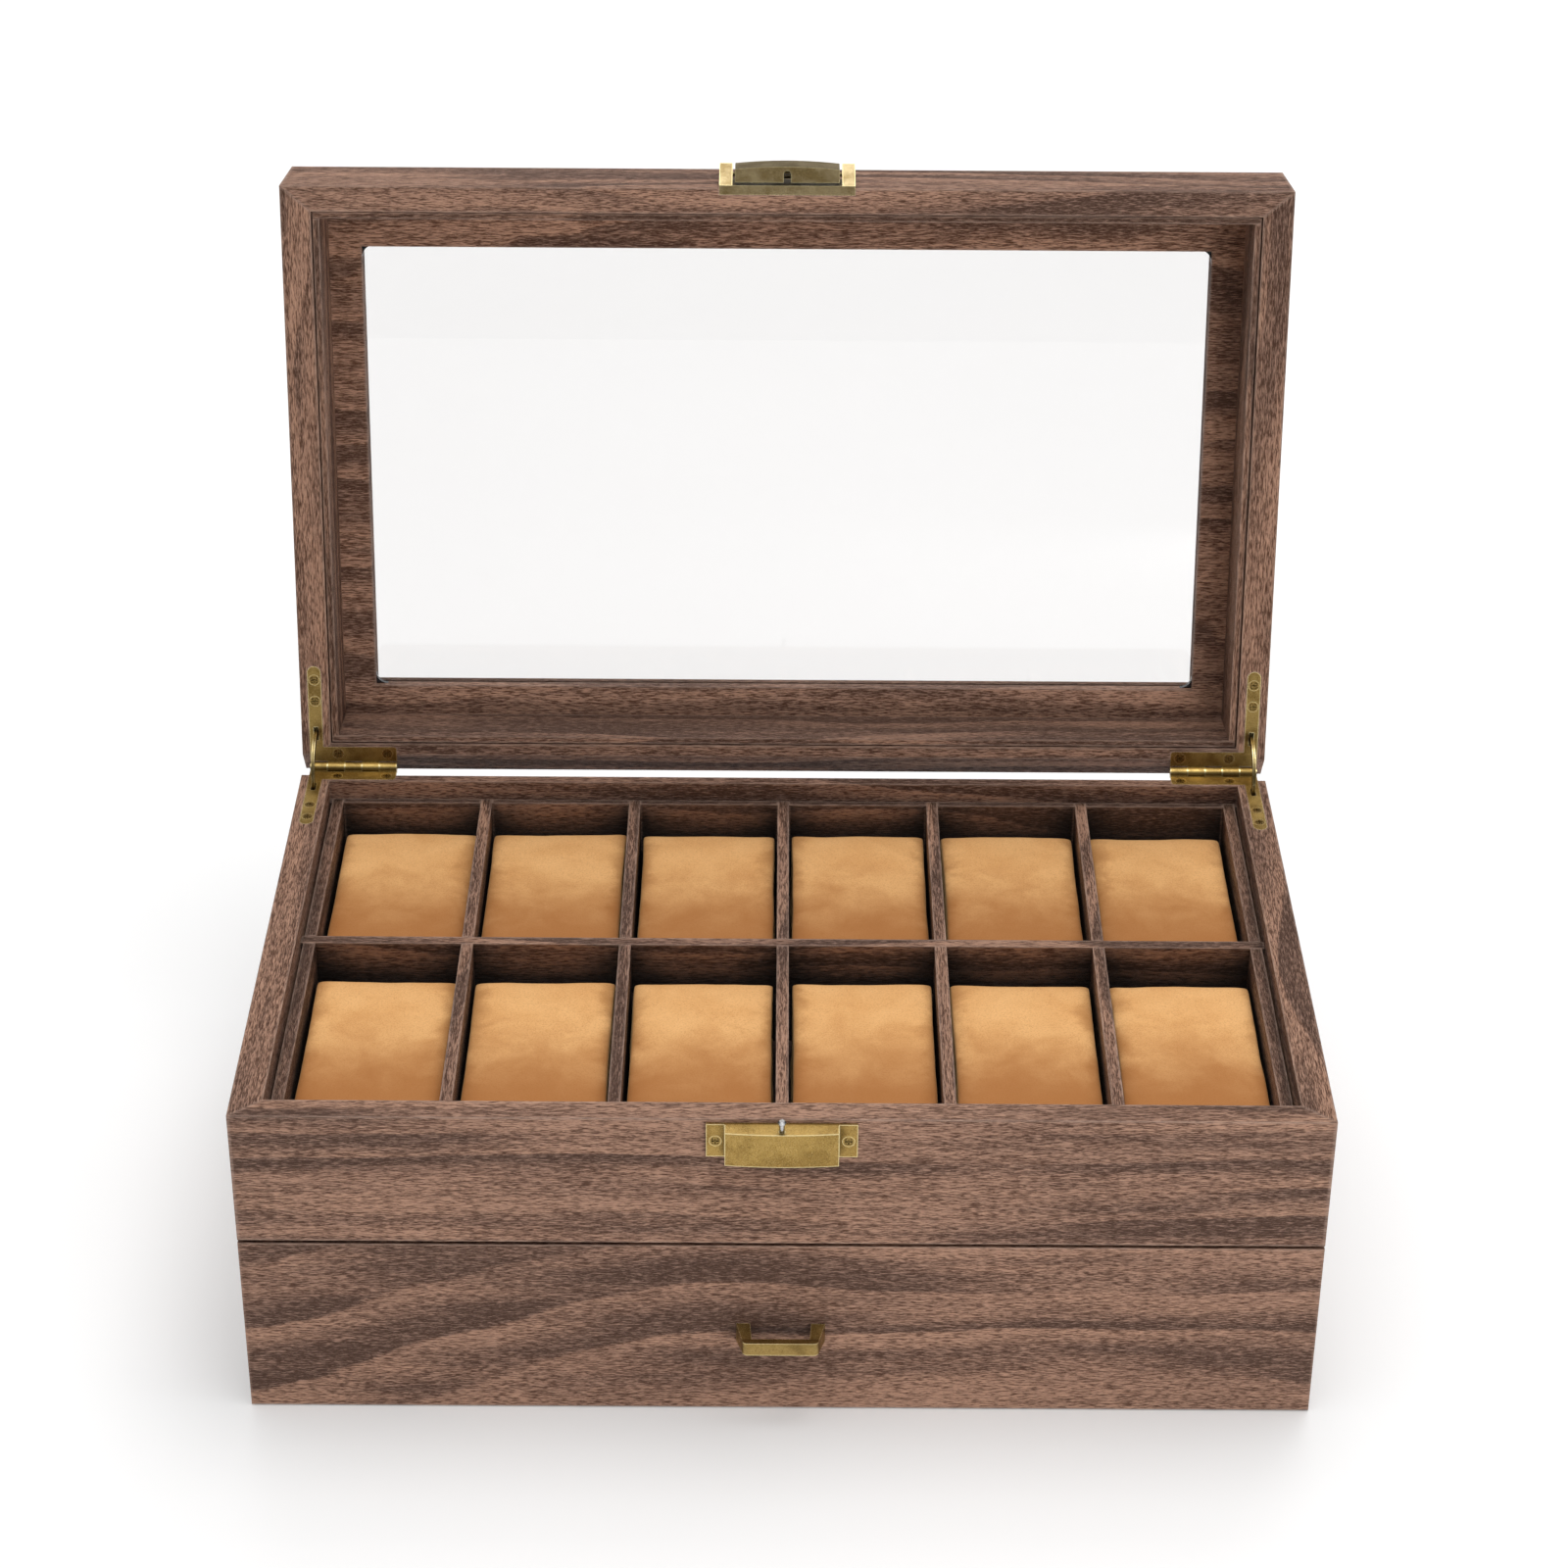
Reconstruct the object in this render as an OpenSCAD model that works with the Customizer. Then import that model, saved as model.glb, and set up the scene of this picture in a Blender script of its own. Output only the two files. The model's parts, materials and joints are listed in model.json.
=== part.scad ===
// Two-tier watch box: glazed lid over twelve cushioned cells, one drawer below.
// Millimetres, +Z up, +X to the right, front towards -Y.
// The origin is the centre of the case's base face, and the lid is drawn open.

/* [Box] */
// Width of the case and of the lid
box_w = 334; // [300:1:400]
// Depth of the case and of the lid
box_d = 206.5; // [200:0.5:240]
// Height of the case without the lid
case_h = 113; // [108:1:130]
// Height of the lid
lid_h = 34; // [30:1:45]
// Thickness of the side walls and of the lid's stiles
side_t = 10; // [9.5:0.5:12]
// Thickness of the upper front wall and of the lid's front rail
front_t = 8.5; // [8:0.5:11]
// Thickness of the back wall and of the lid's back rail
back_t = 12; // [11.5:0.5:14]
// Bevel along the upper back edge of the case and the lower back edge of the lid
back_bevel = 8; // [6.5:0.5:8]

/* [Lid] */
// Angle of the open lid from closed
lid_open = 101; // [95:1:105]
// Gap between the closed lid's rim and the case's rim
lid_gap = 0.3; // [0.2:0.1:0.5]
// Width of the glazed window
window_w = 287; // [240:1:290]
// Depth of the glazed window
window_d = 156; // [120:1:158]
// Thickness of the top panel
top_panel_t = 5; // [4:0.5:6]
// Thickness of the inner frame under the glass
inner_frame_t = 4; // [3:0.5:5]
// Thickness of the glass
glass_t = 2; // [1.5:0.5:3]
// Thickness of the liner strips in the recess
liner_t = 2.2; // [1.5:0.1:3]

/* [Tray] */
// Thickness of the strips that run from front to back
divider_t = 3.9; // [3:0.1:5]
// Thickness of the strip that runs from side to side between the rows
strip_t = 4.1; // [3:0.1:5]
// Thickness of the strips along the front and back walls
wall_strip_t = 2.6; // [2:0.1:4]
// How far the lattice lies below the case's rim
tray_drop = 7; // [5:0.1:10]
// Depth of a cell in the back row
back_cell_d = 83.5; // [81:0.5:84]

/* [Cushions] */
// Length of a cushion from front to back
cushion_d = 80; // [70:1:81]
// Height of a cushion at its crown
cushion_h = 30.5; // [20:0.5:31]
// Gap between a cushion and the divider on each side of it
cushion_gap = 0.7; // [0.5:0.1:2]

/* [Drawer] */
// Height of the lower edge of the fixed upper front wall
seam_z = 66; // [60:1:70]
// Height of the drawer front
drawer_front_h = 64.3; // [50:0.1:64.5]
// Thickness of the drawer's sides and back
drawer_side_t = 7; // [5:0.5:10]
// Height of the drawer's sides
drawer_side_h = 50; // [30:1:54]

/* [Hinges] */
// Thickness of a hinge leaf
leaf_t = 1; // [0.8:0.1:1.2]
// Width of the arm that lies on the side wall
arm_w = 4.7; // [4.4:0.1:5.5]
// Reach of that arm from the hinge axis
arm_l = 37; // [36:1:45]
// Radius of the barrel
barrel_r = 2; // [1.8:0.1:2.2]
// Radius of the hinge pin
hinge_pin_r = 1; // [0.8:0.05:1.1]
// Width of one of the five knuckles
knuckle_w = 6; // [5.5:0.1:6.5]

/* [Latch] */
// Width of the catch block and of the latch flap
block_w = 34.4; // [30:0.1:36]
// Height of the catch block
block_h = 12; // [10:0.5:14]
// How far the block stands out at its ends
block_out = 5.6; // [5.5:0.1:6.5]
// Extra that bowed fronts stand out at their middle
bow = 0.9; // [0.5:0.1:1.2]

/* [Handle] */
// Width of the handle at its feet
handle_w = 27.8; // [26:0.1:32]
// How far the handle stands out
handle_out = 8.5; // [8:0.1:12]
// Height of the handle's middle above the base
handle_z = 30.9; // [20:0.1:45]

/* [Hidden] */
$fn = 48;
eps = 0.01;
half_w = box_w / 2;
front_y = -box_d / 2;
back_y = box_d / 2;
inner_x = half_w - side_t;
inner_front_y = front_y + front_t;
inner_back_y = back_y - back_t;
lid_z = case_h + lid_gap;
lid_top_z = case_h + lid_h;
axis_inset = 3.2;
axis_y = back_y - axis_inset;
axis_z = case_h + lid_gap / 2;

base_t = 5;
deck_t = 5;
deck_lap = 2;
deck_z = seam_z + deck_lap - deck_t;
tray_floor_z = deck_z + deck_t;
tray_top_z = case_h - tray_drop;
tray_mid_z = (tray_floor_z + tray_top_z) / 2;
row_cells = 6;
end_strip_gap = 0.9;
end_strip_x = inner_x - end_strip_gap - divider_t / 2;
cell_pitch = 2 * end_strip_x / row_cells;
cell_w = cell_pitch - divider_t;
centre_strip_y = inner_back_y - wall_strip_t - back_cell_d - strip_t;
cushion_back_gap = [1.2, 4.5];
cushion_w = cell_w - 2 * cushion_gap;
cushion_lift = 0.3;
cushion_corner_r = 9;
cushion_foot_r = 5;

running_gap = 0.05;
knuckle_gap = 0.1;
leaf_edge = barrel_r + 0.3;
cross_arm_d = 7.6;
cross_corner_r = 1;
barrel_l = 5 * knuckle_w;
leaf_x = half_w - 5;
leaf_out_x = leaf_x + arm_w / 2;
stay_t = 1;
stay_r = [11, 13.6];
stay_lug_r = [9.7, 15.2];
stay_lug_from = 7.2;
stay_end = 10.5;
stay_slot_r = [10.1, 14.8];
stay_slot_w = 1.6;
stay_pocket_r = [9.4, 15.5];
stay_pocket_angle = lid_open / 2 + stay_end + 2;

screw_head_r = 1.8;
screw_shank_r = 0.9;
screw_head_h = 1;
screw_l = 8;
arm_screw_d = [24.3, 32];
cross_screw_x = [7.4, 24.4];
cross_screw_d = 5.2;
hinge_screws = concat(
    [for (d = arm_screw_d) [leaf_x, axis_y - d]],
    [for (x = cross_screw_x) [leaf_x - x, axis_y - cross_screw_d]]);

glass_margin = 3;
corner_pad = 4;
corner_pad_h = 2;
liner_gap = 0.4;
liner_z = [lid_z + 1, lid_top_z - top_panel_t - inner_frame_t];

plate_t = 1;
catch_top_z = case_h - 1.2;
catch_plate_w = 45.8;
catch_screw_x = 20.1;
catch_screw_z = catch_top_z - 6.2;
catch_screw_l = 6;
catch_pin_y = front_y - 4.5;
pin_dome_h = 0.45;
catch_pin_z = [catch_top_z - 2, case_h + 1.9, case_h + 2.8];
catch_neck_r = 0.85;
catch_head_r = 1.3;
housing_w = 44.8;
housing_h = 12.5;
cheek_w = 4.3;
cheek_out = [1, 6.3];
cheek_chamfer = [0.8, 1.2];
flange_d = 2.1;
flange_t = 0.8;
flap_z = [case_h + 1.2, case_h + 12.2];
flap_out = 6.2;
flap_wall = 1.1;
flap_web = 0.55;
flap_back = 1.8;
flap_pivot = [front_y - 3, case_h + 9.6];
flap_pin_r = 0.75;
flap_pin_l = block_w + 0.4 + 1.2 * cheek_w;
flap_chamfer = [0.8, 2.4];
flap_roof = 0.8;
spring_l = 9;
spring_r = [0.95, 1.4];
flap_slot_w = 2.4;
latch_screw_x = 10;
latch_screw_z = case_h + 5;

drawer_front_t = front_t - 0.3;
drawer_front_z = 0.5;
drawer_x = inner_x - 1;
drawer_back_y = inner_back_y - 3;
drawer_z = base_t + 0.2;
drawer_bottom_t = 3;
drawer_bottom_z = drawer_z + 2;
drawer_groove = 3;
lining_t = 1;
drawer_floor_z = drawer_bottom_z + drawer_bottom_t + lining_t;
drawer_divider_t = 4;
drawer_divider_h = 30;
handle_foot_w = 4.4;
handle_foot_h = 6.9;
handle_bar_h = 4.7;
handle_bar_t = 2.3;
handle_corner_r = 1.8;
handle_taper = 1.85;
handle_screw_x = handle_w / 2 - 2.3;
handle_screw_r = 1.1;
handle_head_r = 2.2;
handle_head_h = 1.4;

// ---- helpers ----

// A block between two corners
module block(low, high) {
    translate(low) cube(high - low);
}

// Carries what is drawn for the closed lid to the open lid
module lid_pose() {
    translate([0, axis_y, axis_z])
        rotate([-lid_open, 0, 0])
            translate([0, -axis_y, -axis_z]) children();
}

module on_side(side) {
    if (side < 0) mirror([1, 0, 0]) children();
    else children();
}

// A shape drawn in (y, z) and run along X from x0 for a length
module along_x(x0, length) {
    translate([x0, 0, 0])
        rotate([90, 0, 90]) linear_extrude(length) children();
}

// Plan of the four walls, mitred at the corners
module front_plan() {
    polygon([[-half_w, front_y], [half_w, front_y],
             [inner_x, inner_front_y], [-inner_x, inner_front_y]]);
}

module back_plan() {
    polygon([[-half_w, back_y], [half_w, back_y],
             [inner_x, inner_back_y], [-inner_x, inner_back_y]]);
}

module side_plan() {
    polygon([[half_w, front_y], [half_w, back_y],
             [inner_x, inner_back_y], [inner_x, inner_front_y]]);
}

// The wedge that bevels the case's back edge; the lid's is its mirror image
module case_bevel_cut() {
    along_x(-half_w - 1, box_w + 2)
        polygon([[back_y - back_bevel - 1, case_h + 1], [back_y + 1, case_h + 1],
                 [back_y + 1, case_h - back_bevel - 1]]);
}

// Mirrors a case feature about the plane where the closed lid meets the case
module in_lid() {
    translate([0, 0, 2 * axis_z]) mirror([0, 0, 1]) children();
}

// Countersunk cross-head screw, pointing down, its head flush with z = 0
module screw_body(length = screw_l, head_r = screw_head_r, shank_r = screw_shank_r) {
    translate([0, 0, -screw_head_h]) cylinder(h = screw_head_h, r1 = shank_r, r2 = head_r);
    translate([0, 0, -length]) cylinder(h = length - screw_head_h / 2, r = shank_r);
}

module cross_recess(reach) {
    for (turn = [0, 90])
        rotate(turn)
            translate([0, 0, 0.2]) cube([2 * reach, 0.55, 1.5], center = true);
}

module cross_screw(length = screw_l, head_r = screw_head_r, shank_r = screw_shank_r) {
    difference() {
        screw_body(length, head_r, shank_r);
        cross_recess(0.68 * head_r);
    }
}

// A ring sector about the hinge axis, from angle a to angle b above the case's rim
module hinge_sector(radii, a, b, x0, width) {
    steps = 8;
    reach = radii[1] * 1.2;
    along_x(x0, width)
        translate([axis_y, axis_z])
            intersection() {
                difference() {
                    circle(r = radii[1], $fn = 96);
                    circle(r = radii[0], $fn = 96);
                }
                polygon(concat([[0, 0]], [for (i = [0:steps])
                    let (t = a + (b - a) * i / steps) reach * [-cos(t), sin(t)]]));
            }
}

// ---- hinges ----

module leaf_plan() {
    side_end = axis_y - arm_l;
    cross_in = leaf_out_x - barrel_l;
    translate([leaf_x, side_end + arm_w / 2]) circle(r = arm_w / 2);
    translate([leaf_x - arm_w / 2, side_end + arm_w / 2])
        square([arm_w, arm_l - arm_w / 2 - leaf_edge]);
    translate([cross_in + cross_corner_r, axis_y - cross_arm_d])
        square([barrel_l - cross_corner_r, cross_arm_d - leaf_edge]);
    translate([cross_in, axis_y - cross_arm_d + cross_corner_r])
        square([cross_corner_r + eps, cross_arm_d - cross_corner_r - leaf_edge]);
    translate([cross_in + cross_corner_r, axis_y - cross_arm_d + cross_corner_r])
        circle(r = cross_corner_r);
}

// The leaf's bed, cut into the rim
module leaf_mortise() {
    translate([0, 0, case_h - leaf_t]) linear_extrude(leaf_t + 1) leaf_plan();
}

module stay_pocket() {
    hinge_sector(stay_pocket_r, -stay_pocket_angle, 5, leaf_x - stay_slot_w / 2, stay_slot_w);
}

module place_hinge_screws() {
    for (p = hinge_screws) translate([p[0], p[1], case_h]) children();
}

// The cuts for both leaves, their screws and their stays
module hinge_cuts() {
    for (side = [-1, 1])
        on_side(side) {
            leaf_mortise();
            place_hinge_screws() screw_body();
            stay_pocket();
        }
}

// A right-hand leaf in the case's place; knuckles lists which of the five it has
module leaf(knuckles, bore_r) {
    difference() {
        union() {
            translate([0, 0, case_h - leaf_t]) linear_extrude(leaf_t) leaf_plan();
            for (k = knuckles) {
                x0 = leaf_out_x - (k + 1) * knuckle_w + knuckle_gap / 2;
                width = knuckle_w - knuckle_gap;
                block([x0, axis_y - leaf_edge - eps, case_h - leaf_t],
                      [x0 + width, axis_y, case_h]);
                translate([x0, axis_y, axis_z])
                    rotate([0, 90, 0]) cylinder(h = width, r = barrel_r);
            }
        }
        translate([leaf_out_x + 1, axis_y, axis_z])
            rotate([0, -90, 0]) cylinder(h = barrel_l + 2, r = bore_r);
        block([leaf_x - stay_slot_w / 2, axis_y - stay_slot_r[1], case_h - leaf_t - 1],
              [leaf_x + stay_slot_w / 2, axis_y - stay_slot_r[0], case_h + 1]);
        place_hinge_screws() screw_body();
    }
}

module case_leaf(side) {
    color([0.66, 0.55, 0.3]) on_side(side) leaf([0, 2, 4], hinge_pin_r);
}

module lid_leaf(side) {
    color([0.66, 0.55, 0.3])
        lid_pose() in_lid() on_side(side) leaf([1, 3], hinge_pin_r + running_gap);
}

module hinge_pins() {
    color([0.6, 0.5, 0.3])
        for (side = [-1, 1])
            on_side(side)
                translate([leaf_out_x, axis_y, axis_z])
                    rotate([0, -90, 0]) cylinder(h = barrel_l, r = hinge_pin_r);
}

module case_hinge_screws() {
    color([0.55, 0.45, 0.25])
        for (side = [-1, 1]) on_side(side) place_hinge_screws() cross_screw();
}

module lid_hinge_screws() {
    color([0.55, 0.45, 0.25])
        lid_pose() in_lid()
            for (side = [-1, 1]) on_side(side) place_hinge_screws() cross_screw();
}

// The curved stay, with a stop lug at each end
module stay(side) {
    color([0.62, 0.58, 0.46])
        on_side(side) {
            low = -stay_end;
            high = lid_open + stay_end;
            x0 = leaf_x - stay_t / 2;
            hinge_sector(stay_r, low, high, x0, stay_t);
            hinge_sector(stay_lug_r, low, -stay_lug_from, x0, stay_t);
            hinge_sector(stay_lug_r, lid_open + stay_lug_from, high, x0, stay_t);
        }
}

// ---- case ----

module side_wall(side) {
    color([0.5, 0.39, 0.33])
        difference() {
            on_side(side)
                difference() {
                    linear_extrude(case_h) side_plan();
                    block([inner_x - 1, front_y - 1, -1], [half_w + 1, inner_front_y, seam_z]);
                }
            case_bevel_cut();
            hinge_cuts();
        }
}

module back_wall() {
    color([0.5, 0.39, 0.33])
        difference() {
            linear_extrude(case_h) back_plan();
            case_bevel_cut();
            hinge_cuts();
        }
}

module catch_screw_places() {
    for (x = [-catch_screw_x, catch_screw_x])
        translate([x, front_y - plate_t, catch_screw_z]) rotate([90, 0, 0]) children();
}

module upper_front_wall() {
    color([0.5, 0.39, 0.33])
        difference() {
            translate([0, 0, seam_z]) linear_extrude(case_h - seam_z) front_plan();
            catch_screw_places() screw_body(catch_screw_l);
        }
}

module base_panel() {
    color([0.4, 0.31, 0.26])
        block([-inner_x, inner_front_y, 0], [inner_x, inner_back_y, base_t]);
}

module deck_panel() {
    color([0.4, 0.31, 0.26])
        block([-inner_x, inner_front_y, deck_z], [inner_x, inner_back_y, tray_floor_z]);
}

// ---- tray lattice ----

function crossing_x(i) = -end_strip_x + i * cell_pitch;

// A strip from side to side, notched between two heights where the others cross it
module long_strip(y0, thickness, notch_z) {
    color([0.42, 0.33, 0.28])
        difference() {
            block([-inner_x, y0, tray_floor_z], [inner_x, y0 + thickness, tray_top_z]);
            for (i = [0:row_cells])
                block([crossing_x(i) - divider_t / 2, y0 - 1, notch_z[0]],
                      [crossing_x(i) + divider_t / 2, y0 + thickness + 1, notch_z[1]]);
        }
}

module long_strip_back() {
    long_strip(inner_back_y - wall_strip_t, wall_strip_t, [tray_mid_z, tray_top_z + 1]);
}

module long_strip_front() {
    long_strip(inner_front_y, wall_strip_t, [tray_mid_z, tray_top_z + 1]);
}

module long_strip_centre() {
    long_strip(centre_strip_y, strip_t, [tray_floor_z - 1, tray_mid_z]);
}

// A strip from wall to wall: the centre strip passes over it, and it over the others
module cross_strip(i) {
    low_x = crossing_x(i) - divider_t / 2;
    high_x = crossing_x(i) + divider_t / 2;
    difference() {
        block([low_x, inner_front_y, tray_floor_z], [high_x, inner_back_y, tray_top_z]);
        block([low_x - 1, centre_strip_y, tray_mid_z],
              [high_x + 1, centre_strip_y + strip_t, tray_top_z + 1]);
        block([low_x - 1, inner_back_y - wall_strip_t, tray_floor_z - 1],
              [high_x + 1, inner_back_y + 1, tray_mid_z]);
        block([low_x - 1, inner_front_y - 1, tray_floor_z - 1],
              [high_x + 1, inner_front_y + wall_strip_t, tray_mid_z]);
    }
}

module end_strips() {
    color([0.42, 0.33, 0.28])
        for (i = [0, row_cells]) cross_strip(i);
}

module cross_dividers() {
    color([0.42, 0.33, 0.28])
        for (i = [1:row_cells - 1]) cross_strip(i);
}

// ---- cushions ----

// Side outline of a cushion: rounded at the top corners, less so at its foot
module cushion_outline() {
    r = cushion_corner_r;
    f = cushion_foot_r;
    translate([0, f]) square([cushion_d, cushion_h - r - f]);
    translate([r, cushion_h - r - eps]) square([cushion_d - 2 * r, r + eps]);
    translate([f, 0]) square([cushion_d - 2 * f, f + eps]);
    for (y = [r, cushion_d - r]) translate([y, cushion_h - r]) circle(r = r);
    for (y = [f, cushion_d - f]) translate([y, f]) circle(r = f);
}

// Cushions 1 to 6 are the back row from the left, 7 to 12 the front row
module cushion(n) {
    cell = (n - 1) % row_cells;
    row_back = n > row_cells ? centre_strip_y - cushion_back_gap[1]
                             : inner_back_y - wall_strip_t - cushion_back_gap[0];
    color([0.78, 0.55, 0.31])
        translate([0, row_back - cushion_d, tray_floor_z + cushion_lift])
            along_x(crossing_x(cell) + divider_t / 2 + cushion_gap, cushion_w)
                cushion_outline();
}

// ---- catch on the case ----

// A plan with a bowed front: a rectangle and a large arc over its front edge
module bowed_plan(width, out) {
    half = width / 2;
    bow_r = (half * half + bow * bow) / (2 * bow);
    translate([-half, -out]) square([width, out]);
    intersection() {
        translate([-half, -out - bow]) square([width, bow + 1]);
        translate([0, bow_r - out - bow]) circle(r = bow_r, $fn = 200);
    }
}

module catch_plate() {
    color([0.7, 0.58, 0.34])
        difference() {
            union() {
                block([-catch_plate_w / 2, front_y - plate_t, catch_top_z - block_h],
                      [catch_plate_w / 2, front_y, catch_top_z]);
                translate([0, front_y, catch_top_z - block_h])
                    linear_extrude(block_h) bowed_plan(block_w, block_out);
            }
            catch_screw_places() screw_body(catch_screw_l);
            translate([0, catch_pin_y, catch_pin_z[0]])
                cylinder(h = catch_top_z - catch_pin_z[0] + 1, r = catch_neck_r);
        }
}

module catch_pin() {
    color([0.85, 0.85, 0.86])
        translate([0, catch_pin_y, 0]) {
            translate([0, 0, catch_pin_z[0]])
                cylinder(h = catch_pin_z[1] - catch_pin_z[0] + eps, r = catch_neck_r);
            translate([0, 0, catch_pin_z[1]])
                cylinder(h = catch_pin_z[2] - catch_pin_z[1] - pin_dome_h, r = catch_head_r);
            translate([0, 0, catch_pin_z[2] - pin_dome_h])
                cylinder(h = pin_dome_h, r1 = catch_head_r, r2 = 0.6 * catch_head_r);
        }
}

module catch_screws() {
    color([0.55, 0.45, 0.25]) catch_screw_places() cross_screw(catch_screw_l);
}

// ---- lid ----

module lid_walls() {
    translate([0, 0, lid_z]) linear_extrude(lid_h - lid_gap) children();
}

module lid_cuts() {
    in_lid() {
        case_bevel_cut();
        hinge_cuts();
    }
}

module latch_screw_places() {
    for (x = [-latch_screw_x, latch_screw_x])
        translate([x, front_y - plate_t, latch_screw_z]) rotate([90, 0, 0]) children();
}

module latch_flange() {
    block([-housing_w / 2, front_y - eps, lid_z],
          [housing_w / 2, front_y + flange_d, lid_z + flange_t]);
}

module lid_front_rail() {
    color([0.5, 0.39, 0.33])
        lid_pose()
            difference() {
                lid_walls() front_plan();
                translate([0, 0, -eps]) latch_flange();
                latch_flange();
                latch_screw_places() screw_body(catch_screw_l);
            }
}

module lid_back_rail() {
    color([0.5, 0.39, 0.33])
        lid_pose()
            difference() {
                lid_walls() back_plan();
                lid_cuts();
            }
}

module lid_stile(side) {
    color([0.5, 0.39, 0.33])
        lid_pose()
            difference() {
                lid_walls() on_side(side) side_plan();
                lid_cuts();
            }
}

// A rectangle centred in the lid's opening, a given size wider and deeper than the window
module window_plan(extra) {
    square([window_w + 2 * extra, window_d + 2 * extra], center = true);
}

module lid_opening_plan() {
    translate([-inner_x, inner_front_y])
        square([2 * inner_x, inner_back_y - inner_front_y]);
}

module lid_top_panel() {
    color([0.5, 0.39, 0.33])
        lid_pose()
            translate([0, 0, lid_top_z - top_panel_t])
                difference() {
                    linear_extrude(top_panel_t) lid_opening_plan();
                    translate([0, 0, -1]) linear_extrude(top_panel_t + 2) window_plan(0);
                    translate([0, 0, -1])
                        linear_extrude(glass_t + 1) window_plan(glass_margin);
                }
}

module lid_inner_frame() {
    color([0.47, 0.36, 0.3])
        lid_pose()
            translate([0, 0, lid_top_z - top_panel_t - inner_frame_t])
                linear_extrude(inner_frame_t)
                    difference() {
                        lid_opening_plan();
                        window_plan(0);
                    }
}

module lid_glass() {
    color([0.9, 0.93, 0.93, 0.3])
        lid_pose()
            translate([0, 0, lid_top_z - top_panel_t])
                linear_extrude(glass_t) window_plan(glass_margin);
}

// Small dark fillets in the window's corners, under the glass
module glass_corner_pads() {
    color([0.1, 0.1, 0.11])
        lid_pose()
            translate([0, 0, lid_top_z - top_panel_t - corner_pad_h])
                for (turn = [0, 180], side = [-1, 1])
                    rotate(turn) on_side(side)
                        translate([window_w / 2 - corner_pad, window_d / 2 - corner_pad, 0])
                            linear_extrude(corner_pad_h)
                                difference() {
                                    square(corner_pad);
                                    circle(r = corner_pad);
                                }
}

// The liner strips stand on the inner frame, a narrow gap away from the rails
module lid_liner_long() {
    color([0.45, 0.35, 0.29])
        lid_pose()
            for (y0 = [inner_front_y + liner_gap, inner_back_y - liner_gap - liner_t])
                block([-inner_x + liner_gap, y0, liner_z[0]],
                      [inner_x - liner_gap, y0 + liner_t, liner_z[1]]);
}

module lid_liner_short() {
    color([0.45, 0.35, 0.29])
        lid_pose()
            for (side = [-1, 1])
                on_side(side)
                    block([inner_x - liner_gap - liner_t, inner_front_y + liner_gap + liner_t,
                           liner_z[0]],
                          [inner_x - liner_gap, inner_back_y - liner_gap - liner_t,
                           liner_z[1]]);
}

// ---- latch on the lid ----

// Side outline of a cheek: low at the rim, high at the top
module cheek_outline() {
    polygon([[front_y - eps, lid_z], [front_y - cheek_out[0], lid_z],
             [front_y - cheek_out[1], lid_z + housing_h - cheek_chamfer[1]],
             [front_y - cheek_out[1] + cheek_chamfer[0], lid_z + housing_h],
             [front_y - eps, lid_z + housing_h]]);
}

module flap_pin_body(length, radius) {
    translate([-length / 2, flap_pivot[0], flap_pivot[1]])
        rotate([0, 90, 0]) cylinder(h = length, r = radius);
}

module latch_housing() {
    color([0.72, 0.64, 0.45])
        lid_pose()
            difference() {
                union() {
                    block([-housing_w / 2, front_y - plate_t, lid_z],
                          [housing_w / 2, front_y, lid_z + housing_h]);
                    latch_flange();
                    for (side = [-1, 1])
                        on_side(side)
                            along_x(housing_w / 2 - cheek_w, cheek_w) cheek_outline();
                }
                flap_pin_body(flap_pin_l, flap_pin_r);
                latch_screw_places() screw_body(catch_screw_l);
            }
}

module latch_screws() {
    color([0.55, 0.45, 0.25])
        lid_pose() latch_screw_places() cross_screw(catch_screw_l);
}

module flap_pivot_pin() {
    color([0.6, 0.5, 0.3]) lid_pose() flap_pin_body(flap_pin_l, flap_pin_r);
}

module flap_spring() {
    color([0.7, 0.7, 0.72])
        lid_pose()
            difference() {
                flap_pin_body(spring_l, spring_r[1]);
                flap_pin_body(spring_l + 1, spring_r[0]);
            }
}

// Side outline of the flap, cut back at the upper rear so that it can swing
module flap_outline() {
    polygon([[front_y - flap_back, flap_z[0]], [front_y - flap_out - bow, flap_z[0]],
             [front_y - flap_out - bow, flap_z[1]],
             [front_y - flap_back - flap_chamfer[0], flap_z[1]],
             [front_y - flap_back, flap_z[1] - flap_chamfer[1]]]);
}

module latch_flap() {
    inner_w = block_w - 2 * flap_wall;
    color([0.72, 0.62, 0.4])
        lid_pose()
            difference() {
                intersection() {
                    along_x(-block_w / 2, block_w) flap_outline();
                    translate([0, front_y, flap_z[0]])
                        linear_extrude(flap_z[1] - flap_z[0]) bowed_plan(block_w, flap_out);
                }
                translate([0, front_y, flap_z[0] + flap_web])
                    linear_extrude(flap_z[1] - flap_z[0] - flap_web - flap_roof)
                        bowed_plan(inner_w, flap_out - flap_wall);
                flap_pin_body(block_w + 2, flap_pin_r + running_gap);
                flap_slot();
            }
}

// The slot that drops over the catch pin's neck, open towards the lid
module flap_slot() {
    translate([0, 0, flap_z[0] - 1])
        linear_extrude(flap_web + 2) {
            translate([0, catch_pin_y]) circle(r = flap_slot_w / 2);
            translate([-flap_slot_w / 2, catch_pin_y])
                square([flap_slot_w, front_y - catch_pin_y]);
        }
}

// ---- drawer ----

module handle_screw_places() {
    for (x = [-handle_screw_x, handle_screw_x])
        translate([x, front_y + drawer_front_t, handle_z]) rotate([-90, 0, 0]) children();
}

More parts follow.
